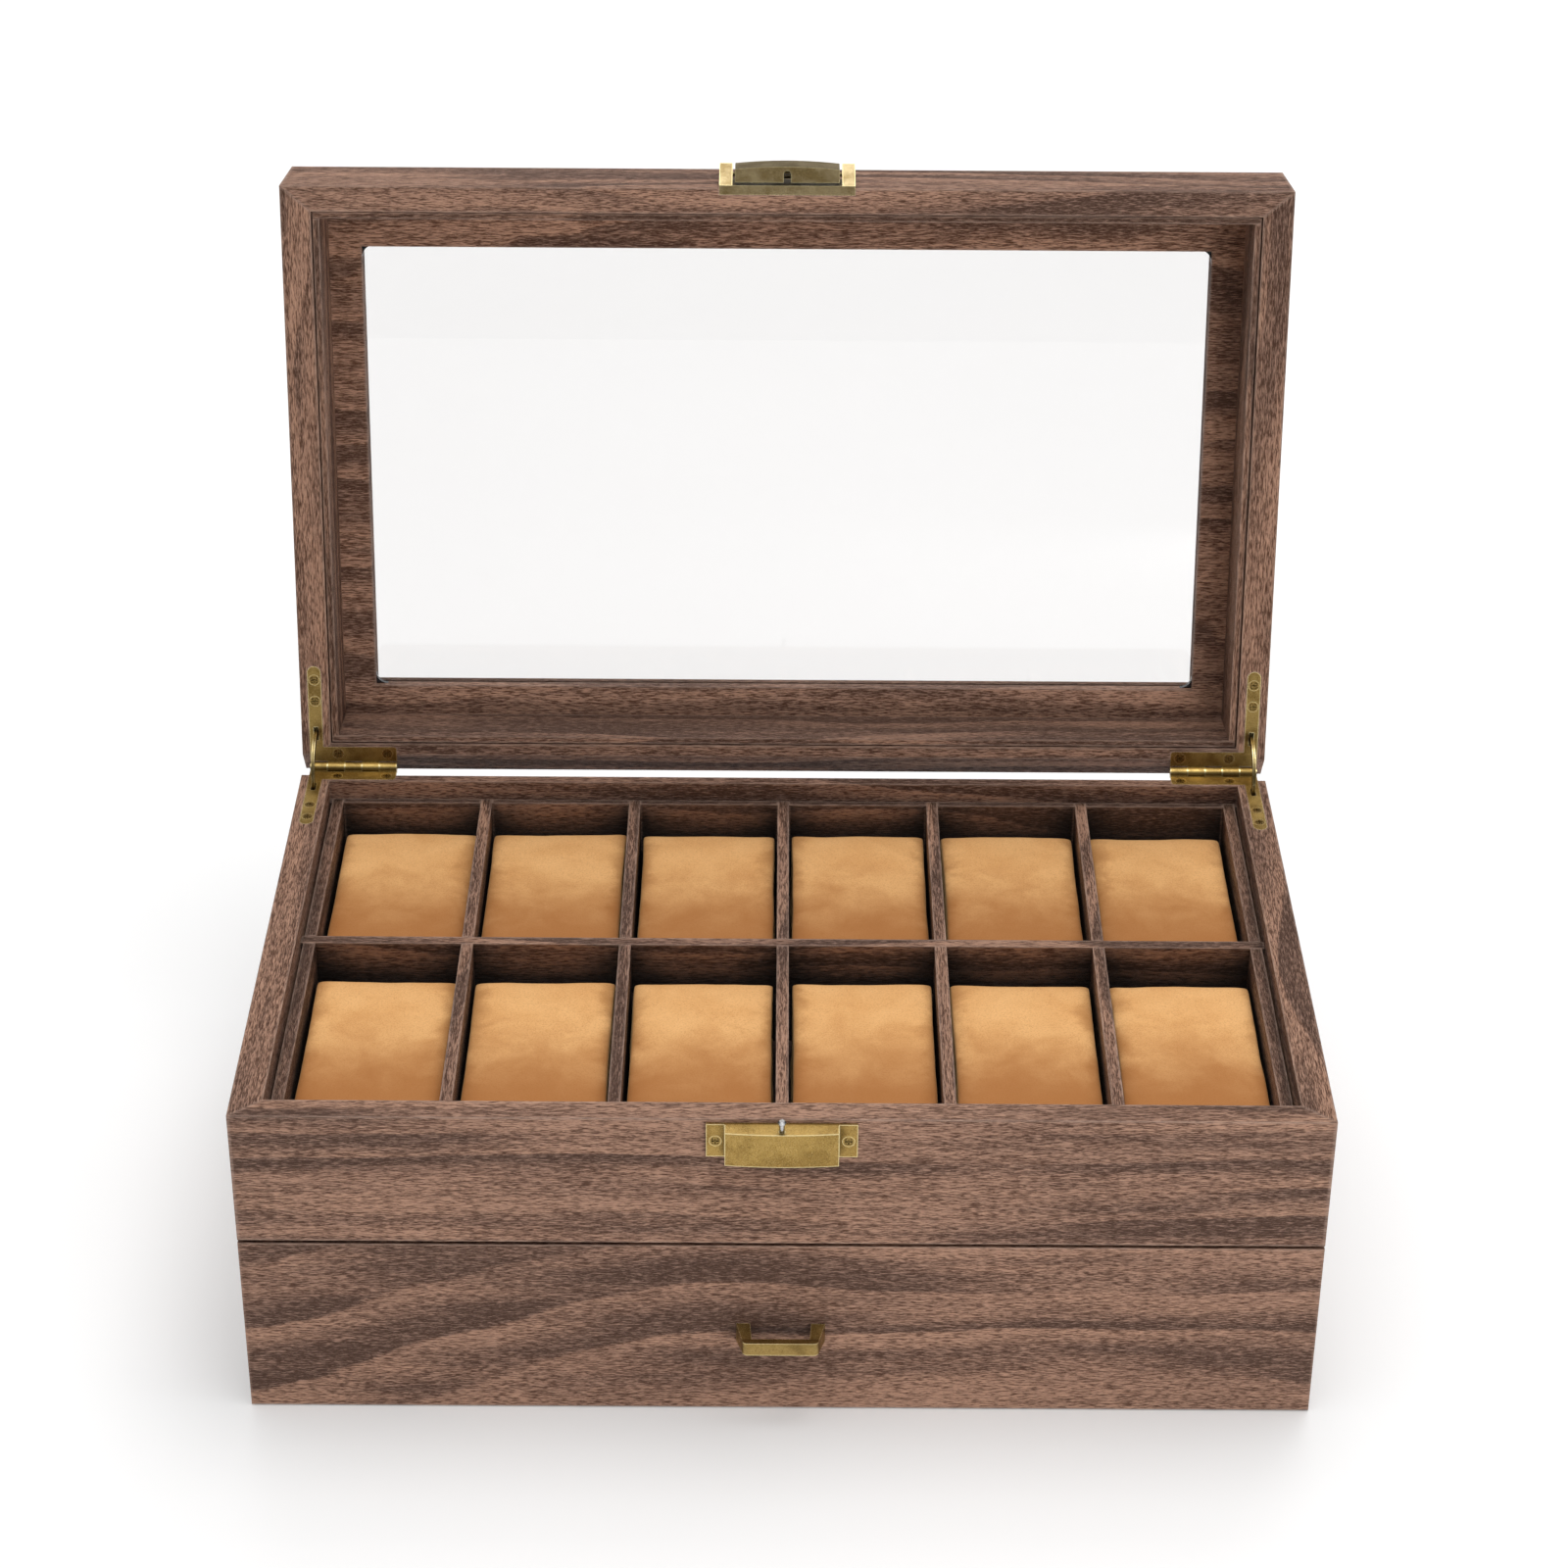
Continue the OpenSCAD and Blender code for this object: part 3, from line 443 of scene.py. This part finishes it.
BRASS_LOOKS = {
    "hinge_brass": dict(face=(184, 156, 92), deep=(138, 112, 60), speckle=0.35),
    "catch_brass": dict(face=(178, 146, 82), deep=(146, 116, 60), speckle=0.6, grime_and_shade_reach=5 * MM),
    # Paler than the other brass: a painted reflection of the bright backdrop.
    "latch_brass_painted_light": dict(face=(186, 168, 130), deep=(142, 122, 82), speckle=0.45),
    "handle_brass": dict(face=(168, 141, 84), deep=(124, 100, 54)),
    "screw_brass": dict(face=(104, 82, 44), deep=(58, 44, 22), worn_and_lit=(186, 156, 94)),
    "stay_brass": dict(face=(138, 118, 72), deep=(84, 68, 34), speckle=0.30),
}
STEEL_NODES = ("catch_pin", "flap_spring")
SUEDE_BOARDS = ("drawer_lining", "drawer_dividers")
SUEDE_BOARD_SEED = 40
THIN_WOOD = ("long_strip", "end_strips", "cross", "lid_liner", "lid_inner")


def dress(node, material):
    """One material over the whole of a CAD node."""
    mesh = NODES[node].data
    mesh.materials.clear()
    mesh.materials.append(material)


def soften(node, width, segments=3, angle=40):
    """Rounds a CAD node's edges with a modifier, which leaves its mesh as it is."""
    bevel = NODES[node].modifiers.new("soft_edges", "BEVEL")
    bevel.width = width
    bevel.segments = segments
    bevel.limit_method = "ANGLE"
    bevel.angle_limit = math.radians(angle)
    bevel.harden_normals = False
    bevel.use_clamp_overlap = True


def dress_nodes():
    """Every CAD node that shows gets its material."""
    for node, look in WOOD.items():
        dress(node, woodgrain("wood_" + node, **look))
    board = plain_board("covered_board")
    for node in BOARDS:
        dress(node, board)
    for name, look in BRASS_LOOKS.items():
        metal = brass(name, **look)
        for node in BRASS_NODES[name]:
            dress(node, metal)
    bright = steel("bright_steel")
    for node in STEEL_NODES:
        dress(node, bright)
    dress("lid_glass", clear_glass("lid_glass"))
    dress("glass_corner_pads", black_pad("corner_pad"))
    for number, node in enumerate(SUEDE_BOARDS):
        dress(node, suede("suede_" + node, SUEDE_BOARD_SEED + number, painted_rim_shade=False))


def soften_nodes():
    """Larger rounds on thick covered wood, small ones on thin wood and metal."""
    for node in WOOD:
        soften(node, (0.9 if node.startswith(THIN_WOOD) else 1.4) * MM)
    for node in BOARDS + SUEDE_BOARDS:
        soften(node, 0.5 * MM, segments=2)
    for node in ("catch_plate", "latch_housing", "latch_flap"):
        soften(node, 0.35 * MM)
    for node in BRASS_NODES["hinge_brass"]:
        soften(node, 0.18 * MM, segments=2)
    soften("drawer_handle", 0.45 * MM, angle=30)


# ---- cushions ----

CUSHIONS = sorted((n for n in NODES if n.startswith("cushion_")), key=lambda n: int(n[8:]))
# Slack cover: how far it starts inside its place, and the rounds of its ends, foot and sides
SHELL_INSET = 0.7 * MM
END_ROUND = 5.0 * MM
FOOT_ROUND = 4.0 * MM
SIDE_ROUND = 1.7 * MM
PLAN_ROUND = 0.8
SIDE_TURNS = (0, 30, 60, 90)
SIDE_SHARES = (0.84, 0.66, 0.46, 0.24)
ARC_STEPS = 4
STEP = 3.2 * MM
CROWN_DROP = 1.6 * MM
WANDER = 0.5 * MM
WANDER_SCALE = 45
# Filling: frames of cloth, and the furthest that a point may move
CLOTH_FRAMES = 20
SWELL_CAP = 1.4 * MM
# Filled cover: how it fits its place, its side seams and its dimples
FABRIC_PROUD = 0.4 * MM
FOOT_LIFT = 0.02 * MM
SIDE_PULL = 0.35 * MM
SIDE_RIPPLE = 0.2 * MM
RIPPLE_SCALE = 62
DENT_SCALE = 150
RIPPLE_MM = 0.42
DENT_MM = 0.16
SINK_MM = 0.35
SEAM_INSET = 1.9 * MM
SEAM_DEPTH = 0.25 * MM
SEAM_WIDTH = 0.6 * MM


def spaced(start, end, step):
    """Points from start to end, about a step apart, without the last one."""
    count = max(1, round((end - start).length / step))
    return [start.lerp(end, i / count) for i in range(count)]


def pillow_outline(depth, height):
    """Side outline of a pillow about its centre: rounded ends and foot, evenly spaced points."""
    outline = []
    y, z = depth / 2, height / 2
    corners = ((y, z, END_ROUND, 0), (-y, z, END_ROUND, 90),
               (-y, -z, FOOT_ROUND, 180), (y, -z, FOOT_ROUND, 270))
    arcs = []
    for corner_y, corner_z, radius, start in corners:
        middle = Vector((corner_y - math.copysign(radius, corner_y),
                         corner_z - math.copysign(radius, corner_z)))
        turns = [math.radians(start + 90 / ARC_STEPS * i) for i in range(ARC_STEPS + 1)]
        arcs.append([middle + radius * Vector((math.cos(a), math.sin(a))) for a in turns])
    for arc, following in zip(arcs, arcs[1:] + arcs[:1]):
        outline += arc[:-1]
        outline += spaced(arc[-1], following[0], STEP)
    return outline


def shell_columns(half):
    """Each ring's place across the pillow, and how far it is drawn in to round the side."""
    turns = [math.radians(a) for a in SIDE_TURNS]
    edges = [(half - SIDE_ROUND * (1 - math.cos(a)), SIDE_ROUND * (1 - math.sin(a)))
             for a in turns]
    flat = spaced(Vector((-edges[-1][0], 0)), Vector((edges[-1][0], 0)), STEP)[1:]
    columns = [(-x, inset) for x, inset in edges] + [(p.x, 0.0) for p in flat]
    return columns + [(x, inset) for x, inset in reversed(edges)]


def pillow_shell(low, high, seed):
    """The slack cover before it is filled, and the points of its two side seams."""
    size, centre = high - low, (high + low) / 2
    half = size.x / 2 - SHELL_INSET
    outline = pillow_outline(size.y - 2 * SHELL_INSET, size.z - 2 * SHELL_INSET)
    shell = bmesh.new()

    def ring_at(x, inset, share=1.0):
        ring = []
        for point in outline:
            y, z = point * share
            reach = Vector((abs(y) / size.y, abs(z) / size.z)).length
            y -= y / size.y / reach * inset * PLAN_ROUND
            z -= z / size.z / reach * inset
            place = centre + Vector((x, y, z))
            crown = CROWN_DROP * abs(2 * y / size.y) ** 2.5 * max(0.0, z / size.z * 2)
            wander = noise.noise(place * WANDER_SCALE + Vector((seed * 7.1, 0, 0))) * WANDER
            ring.append(shell.verts.new(place + Vector((0, 0, wander - crown))))
        return ring

    def skin(first, second):
        for i in range(len(outline)):
            k = (i + 1) % len(outline)
            shell.faces.new((first[i], second[i], second[k], first[k]))

    rings = [ring_at(x, inset) for x, inset in shell_columns(half)]
    for first, second in zip(rings, rings[1:]):
        skin(first, second)
    for side, outer in ((-1, rings[0]), (1, rings[-1])):
        previous = outer
        for share in SIDE_SHARES:
            ring = ring_at(side * half, SIDE_ROUND * share, share)
            skin(*((ring, previous) if side < 0 else (previous, ring)))
            previous = ring
        shell.faces.new(previous if side > 0 else list(reversed(previous)))
    bmesh.ops.recalc_face_normals(shell, faces=shell.faces)
    shell.verts.index_update()
    held = [v.index for ring in (rings[1], rings[2], rings[-2], rings[-3]) for v in ring]
    return shell, held


def evaluated_mesh(piece):
    """A copy of the piece's mesh with its modifiers applied."""
    graph = bpy.context.evaluated_depsgraph_get()
    return bpy.data.meshes.new_from_object(piece.evaluated_get(graph), depsgraph=graph)


def swap_mesh(piece, mesh):
    """Gives the piece a new mesh, with no modifiers left on it."""
    piece.modifiers.clear()
    old, piece.data = piece.data, mesh
    bpy.data.meshes.remove(old)


def add_cloth(piece):
    """Cloth with pressure inside, no gravity, and its side seams held by soft pins."""
    cloth = piece.modifiers.new("fill", "CLOTH")
    settings = cloth.settings
    settings.quality = 6
    settings.mass = 0.2
    settings.tension_stiffness = 12
    settings.compression_stiffness = 12
    settings.shear_stiffness = 4
    settings.bending_stiffness = 1.5
    settings.use_pressure = True
    settings.uniform_pressure_force = 4
    settings.effector_weights.gravity = 0
    settings.vertex_group_mass = "seams"
    settings.pin_stiffness = 0.6
    cloth.point_cache.frame_start = 1
    cloth.point_cache.frame_end = CLOTH_FRAMES


def fill_cushions(cushions):
    """Blows the covers up against their own cloth, all at once, and keeps the last frame."""
    start = {c.name: [v.co.copy() for v in c.data.vertices] for c in cushions}
    for cushion in cushions:
        add_cloth(cushion)
    for frame_number in range(1, CLOTH_FRAMES + 1):
        bpy.context.scene.frame_set(frame_number)
    filled = {c.name: evaluated_mesh(c) for c in cushions}
    for cushion in cushions:
        mesh = filled[cushion.name]
        for vertex, before in zip(mesh.vertices, start[cushion.name]):
            moved = vertex.co - before
            if moved.length > SWELL_CAP:
                vertex.co = before + moved.normalized() * SWELL_CAP
        swap_mesh(cushion, mesh)
    bpy.context.scene.frame_set(1)


def add_smoothing(cushion):
    """One level of subdivision."""
    smoothing = cushion.modifiers.new("smooth", "SUBSURF")
    smoothing.levels = smoothing.render_levels = 1


def corners_of(points):
    """Lowest and highest corner of a set of points."""
    low = Vector([min(p[i] for p in points) for i in range(3)])
    high = Vector([max(p[i] for p in points) for i in range(3)])
    return low, high


def tailored(place, centre, half, seed):
    """Where a point of the fitted cover goes for the ripples, the pulled-in sides and the seams."""
    out = Vector([(place[i] - centre[i]) / half[i] for i in range(3)])
    ripple = noise.noise(place * RIPPLE_SCALE + Vector((0, seed * 3.7, 0)))
    dent = noise.noise(place * DENT_SCALE + Vector((seed * 5.3, 0, 0)))
    top = max(0.0, out.z)
    place.z += top * ((RIPPLE_MM * ripple + DENT_MM * dent) - SINK_MM) * MM
    place.x -= out.x * (1 - out.y ** 2) * SIDE_PULL
    place.x += SIDE_RIPPLE * ripple * out.x ** 2
    beside_seam = (half.x - abs(place.x - centre.x) - SEAM_INSET) / SEAM_WIDTH
    rim = min(1.0, max(abs(out.y), abs(out.z)) ** 6)
    place += (centre - place).normalized() * SEAM_DEPTH * math.exp(-beside_seam ** 2) * rim
    return place


def finish_cushion(cushion, low, high, seed):
    """Smooths the filled cover, fits it in its place and adds the side seams and dimples."""
    add_smoothing(cushion)
    swap_mesh(cushion, evaluated_mesh(cushion))
    now_low, now_high = corners_of([v.co for v in cushion.data.vertices])
    proud = Vector((FABRIC_PROUD, 0, 0))
    want_low, want_high = low - proud, high + proud
    centre = (want_low + want_high) / 2
    half = (want_high - want_low) / 2
    foot = low.z + FOOT_LIFT
    for vertex in cushion.data.vertices:
        share = [(vertex.co[i] - now_low[i]) / (now_high[i] - now_low[i]) for i in range(3)]
        place = Vector([want_low[i] + share[i] * (want_high[i] - want_low[i]) for i in range(3)])
        place = tailored(place, centre, half, seed)
        place.z = max(place.z, foot)
        vertex.co = place
    cushion.data.polygons.foreach_set("use_smooth", [True] * len(cushion.data.polygons))
    add_smoothing(cushion)


def make_cushions():
    """Twelve sewn cushions, each in the place of its plain CAD block."""
    cushions = []
    for seed, node in enumerate(CUSHIONS):
        mesh = bpy.data.meshes.new("suede_" + node)
        shell, held = pillow_shell(*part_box(node), seed)
        shell.to_mesh(mesh)
        shell.free()
        cushion = bpy.data.objects.new("suede_" + node, mesh)
        bpy.context.scene.collection.objects.link(cushion)
        cushion.vertex_groups.new(name="seams").add(held, 1.0, "REPLACE")
        cushions.append(cushion)
    fill_cushions(cushions)
    for seed, (node, cushion) in enumerate(zip(CUSHIONS, cushions)):
        finish_cushion(cushion, *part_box(node), seed)
        cushion.data.materials.clear()
        cushion.data.materials.append(suede("suede_" + node, seed))
        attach(cushion, BODY_OF[node])
        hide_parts(node)


# ---- floor, lights, camera ----

FLOOR_REACH = 6.0
FLOOR_GLOW = 0.16
FLOOR_TONES = ((0.80, 0.80, 0.80, 1), (0.83, 0.83, 0.83, 1))
WHITE = (1, 1, 1, 1)
# The sky's strength is SKY_LOW, plus SKY_HIGH times a direction's height to the power SKY_FOCUS
SKY_LOW = 0.05
SKY_HIGH = 2.7
SKY_FOCUS = 5.0
BACKDROP = 0.93
SOFT_BOXES = (
    dict(name="top", place=(0.3, 0.1, 1.7), target=(0, 0, 0.1), size=(0.9, 0.6), power=5.5),
    dict(name="back", place=(0.2, 1.6, 2.1), target=(0, 0.1, 0.3), size=(2.0, 1.3), power=14),
    dict(name="front", place=(1.0, -1.5, 0.12), target=(0, 0, 0.12), size=(1.2, 0.22), power=13,
         mirrored=False),
)
CAMERA_PLACE = (-0.0014, -0.9937, 0.7705)
CAMERA_PITCH, CAMERA_YAW, CAMERA_ROLL = 31.219, 0.0834, 0.3913
LENS_MM = 84.27
SENSOR_MM = 36


def make_floor():
    """A wide pale floor with a faint glow of its own."""
    mesh = bpy.data.meshes.new("floor")
    made = bmesh.new()
    bmesh.ops.create_grid(made, x_segments=1, y_segments=1, size=FLOOR_REACH)
    made.to_mesh(mesh)
    made.free()
    floor = bpy.data.objects.new("floor", mesh)
    bpy.context.scene.collection.objects.link(floor)
    t = Tree("floor")
    t.feed(t.shader.inputs["Base Color"], t.mix(t.noise(t.place(), 3.0, 2.0), *FLOOR_TONES))
    t.shader.inputs["Emission Color"].default_value = WHITE
    t.shader.inputs["Emission Strength"].default_value = FLOOR_GLOW
    t.shader.inputs["Roughness"].default_value = 0.9
    t.shader.inputs["Specular IOR Level"].default_value = 0.1
    mesh.materials.append(t.material)


def soft_box(name, place, target, size, power, mirrored=True):
    """A rectangular light aimed at a point. One that isn't mirrored leaves no reflection."""
    light = bpy.data.lights.new(name, "AREA")
    light.shape = "RECTANGLE"
    light.size, light.size_y = size
    light.energy = power
    made = bpy.data.objects.new(name, light)
    bpy.context.scene.collection.objects.link(made)
    made.location = place
    made.visible_glossy = mirrored
    made.rotation_euler = (Vector(target) - Vector(place)).to_track_quat("-Z", "Y").to_euler()


def make_sky():
    """A sky that is brightest overhead, and a pale even backdrop wherever it is seen directly."""
    world = bpy.data.worlds.new("studio")
    bpy.context.scene.world = world
    world.use_nodes = True
    nodes, links = world.node_tree.nodes, world.node_tree.links
    split = nodes.new("ShaderNodeSeparateXYZ")
    links.new(nodes.new("ShaderNodeTexCoord").outputs["Generated"], split.inputs[0])
    height = split.outputs[2]
    for operation, value in (("MAXIMUM", 0.0), ("POWER", SKY_FOCUS), ("MULTIPLY", SKY_HIGH),
                             ("ADD", SKY_LOW)):
        step = nodes.new("ShaderNodeMath")
        step.operation = operation
        step.inputs[1].default_value = value
        links.new(height, step.inputs[0])
        height = step.outputs[0]
    ray = nodes.new("ShaderNodeLightPath")
    seen = nodes.new("ShaderNodeMath")
    seen.operation = "MAXIMUM"
    links.new(ray.outputs["Is Camera Ray"], seen.inputs[0])
    links.new(ray.outputs["Is Transmission Ray"], seen.inputs[1])
    pale = nodes.new("ShaderNodeMix")
    links.new(seen.outputs[0], pale.inputs[0])
    links.new(height, pale.inputs[2])
    pale.inputs[3].default_value = BACKDROP
    links.new(pale.outputs[0], nodes["Background"].inputs["Strength"])
    nodes["Background"].inputs["Color"].default_value = WHITE


def light_scene():
    """The sky and three soft boxes: overhead, behind, and low in front."""
    bpy.context.scene.view_settings.view_transform = "Standard"
    make_sky()
    for box in SOFT_BOXES:
        soft_box(**box)


def make_camera():
    """The photograph's viewing angle: a long lens, 31 degrees down, about 1.2 m from the box."""
    pitch, yaw, roll = (math.radians(a) for a in (CAMERA_PITCH, CAMERA_YAW, CAMERA_ROLL))
    forward = Vector((math.sin(yaw) * math.cos(pitch), math.cos(yaw) * math.cos(pitch),
                      -math.sin(pitch)))
    level = Vector((math.cos(yaw), -math.sin(yaw), 0))
    up = level.cross(forward)
    right = level * math.cos(roll) + up * math.sin(roll)
    top = up * math.cos(roll) - level * math.sin(roll)
    data = bpy.data.cameras.new("camera")
    data.sensor_width = SENSOR_MM
    data.lens = LENS_MM
    camera = bpy.data.objects.new("camera", data)
    bpy.context.scene.collection.objects.link(camera)
    turn = Matrix((right, top, -forward)).transposed().to_4x4()
    camera.matrix_world = Matrix.Translation(CAMERA_PLACE) @ turn
    bpy.context.scene.camera = camera


make_camera()
make_floor()
light_scene()
dress_nodes()
soften_nodes()
make_cushions()
